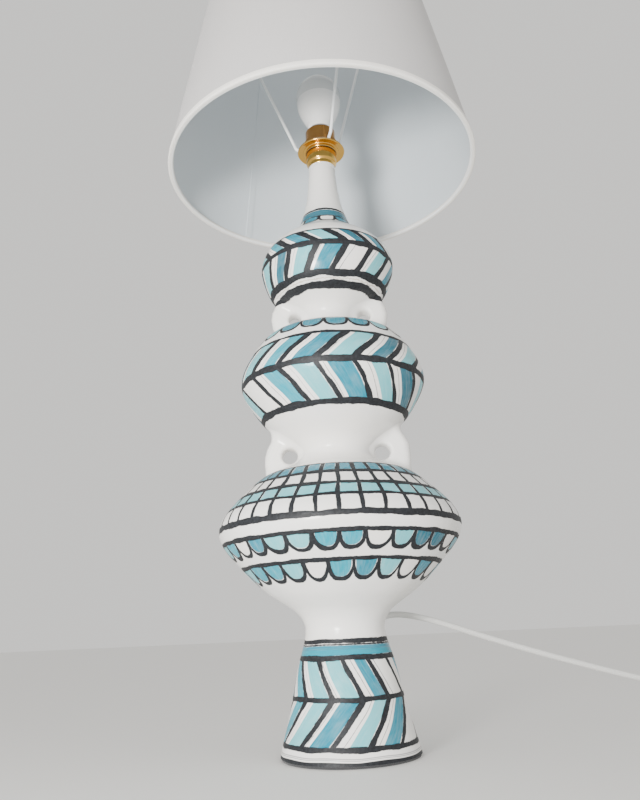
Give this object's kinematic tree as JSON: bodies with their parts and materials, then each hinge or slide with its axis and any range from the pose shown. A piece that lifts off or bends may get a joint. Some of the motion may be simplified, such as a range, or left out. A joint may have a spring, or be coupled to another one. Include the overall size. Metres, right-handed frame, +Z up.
{
  "type": "table lamp",
  "caption": "Tall table lamp: bulbous glazed ceramic stem with lug handles, bayonet lampholder, bulb, tapered fabric shade on a wire carrier, and a coiled mains lead with switch and plug.",
  "frame": {"origin": "centre of the felt under the foot, on the surface that the lamp stands on", "axes": "+Z up along the lamp's axis; -Y is the front; the mains lead leaves at the back and runs towards +X"},
  "size_m": [0.6735, 0.301, 0.7593],
  "materials": {
    "glazed_ceramic": "glossy white glaze with hand-painted bands in black, turquoise and pale aqua",
    "felt": "dark pressed felt",
    "brass": "polished, a little tarnished",
    "zinc_steel": "zinc plated",
    "phenolic": "moulded, matt",
    "cap_metal": "drawn, satin",
    "bulb_body": "smooth white",
    "opal_dome": "opal, satin",
    "shade_fabric": "fine cotton weave on a stiff backing",
    "shade_tape": "narrow rolled tape",
    "white_wire": "white epoxy coat",
    "cord_pvc": "smooth white flexible plastic",
    "switch_plastic": "moulded white",
    "plug_metal": "nickel plated"
  },
  "bodies": {
    "root": {"base_felt": "felt", "foot": "glazed_ceramic", "lower_bulb": "glazed_ceramic", "middle_bulb": "glazed_ceramic", "upper_bulb": "glazed_ceramic", "top_neck": "glazed_ceramic", "lower_lug_left": "glazed_ceramic", "lower_lug_right": "glazed_ceramic", "upper_lug_left": "glazed_ceramic", "upper_lug_right": "glazed_ceramic", "stem_tube": "zinc_steel", "clamp_washer": "zinc_steel", "clamp_nut": "zinc_steel", "lock_nut": "zinc_steel", "neck_cap": "brass", "cord_grommet": "cord_pvc", "inner_cord": "cord_pvc", "holder_skirt": "brass", "holder_body": "brass", "holder_core": "phenolic", "core_sleeve": "phenolic", "terminal_screws": "brass", "contact_spring_front": "zinc_steel", "contact_spring_back": "zinc_steel", "cord_lead": "cord_pvc", "cord_link": "cord_pvc", "cord_coil": "cord_pvc", "cord_tail": "cord_pvc", "switch_base": "switch_plastic", "switch_cover": "switch_plastic", "rocker_cradle": "switch_plastic", "switch_screws": "zinc_steel", "plug_body": "switch_plastic", "plug_pins": "plug_metal", "plug_sleeve": "cord_pvc"},
    "shade": {"shade_cover": "shade_fabric", "shade_top_hoop": "white_wire", "shade_bottom_hoop": "white_wire", "shade_top_tape": "shade_tape", "shade_bottom_tape": "shade_tape", "carrier_ring": "white_wire", "carrier_arms": "white_wire"},
    "clamp_ring": {"shade_ring": "brass"},
    "bulb": {"bulb_cap": "cap_metal", "bulb_cap_disc": "phenolic", "bulb_contacts": "cap_metal", "bulb_shell": "bulb_body", "bulb_dome": "opal_dome", "light_board": "bulb_body"},
    "plungers": {"contact_plunger_front": "brass", "contact_plunger_back": "brass"},
    "rocker": {"switch_rocker": "switch_plastic"}
  },
  "joints": [
    {"name": "shade_turn", "type": "hinge", "parent": "root", "child": "shade", "pos_m": [0, 0, 0.5531], "axis": [0, 0, 1], "continuous": true},
    {"name": "shade_ring_turn", "type": "hinge", "parent": "root", "child": "clamp_ring", "pos_m": [0, 0, 0.5543], "axis": [0, 0, 1], "continuous": true},
    {"name": "bulb_push", "type": "slide", "parent": "root", "child": "bulb", "axis": [0, 0, 1], "range_m": [-0.0015, 0], "stiffness_N_per_m": 900, "springref_m": 0.003},
    {"name": "plunger_slide", "type": "slide", "parent": "root", "child": "plungers", "axis": [0, 0, 1], "range_m": [-0.0016, 0.0001], "deforming": ["contact_spring_front", "contact_spring_back"]},
    {"name": "rocker_tip", "type": "hinge", "parent": "root", "child": "rocker", "pos_m": [0.434, 0.101, 0.0162], "axis": [0, 1, 0], "range_deg": [-14, 0]}
  ],
  "couplings": [
    {"joint": "plunger_slide", "follows": "bulb_push", "ratio": 1}
  ]
}
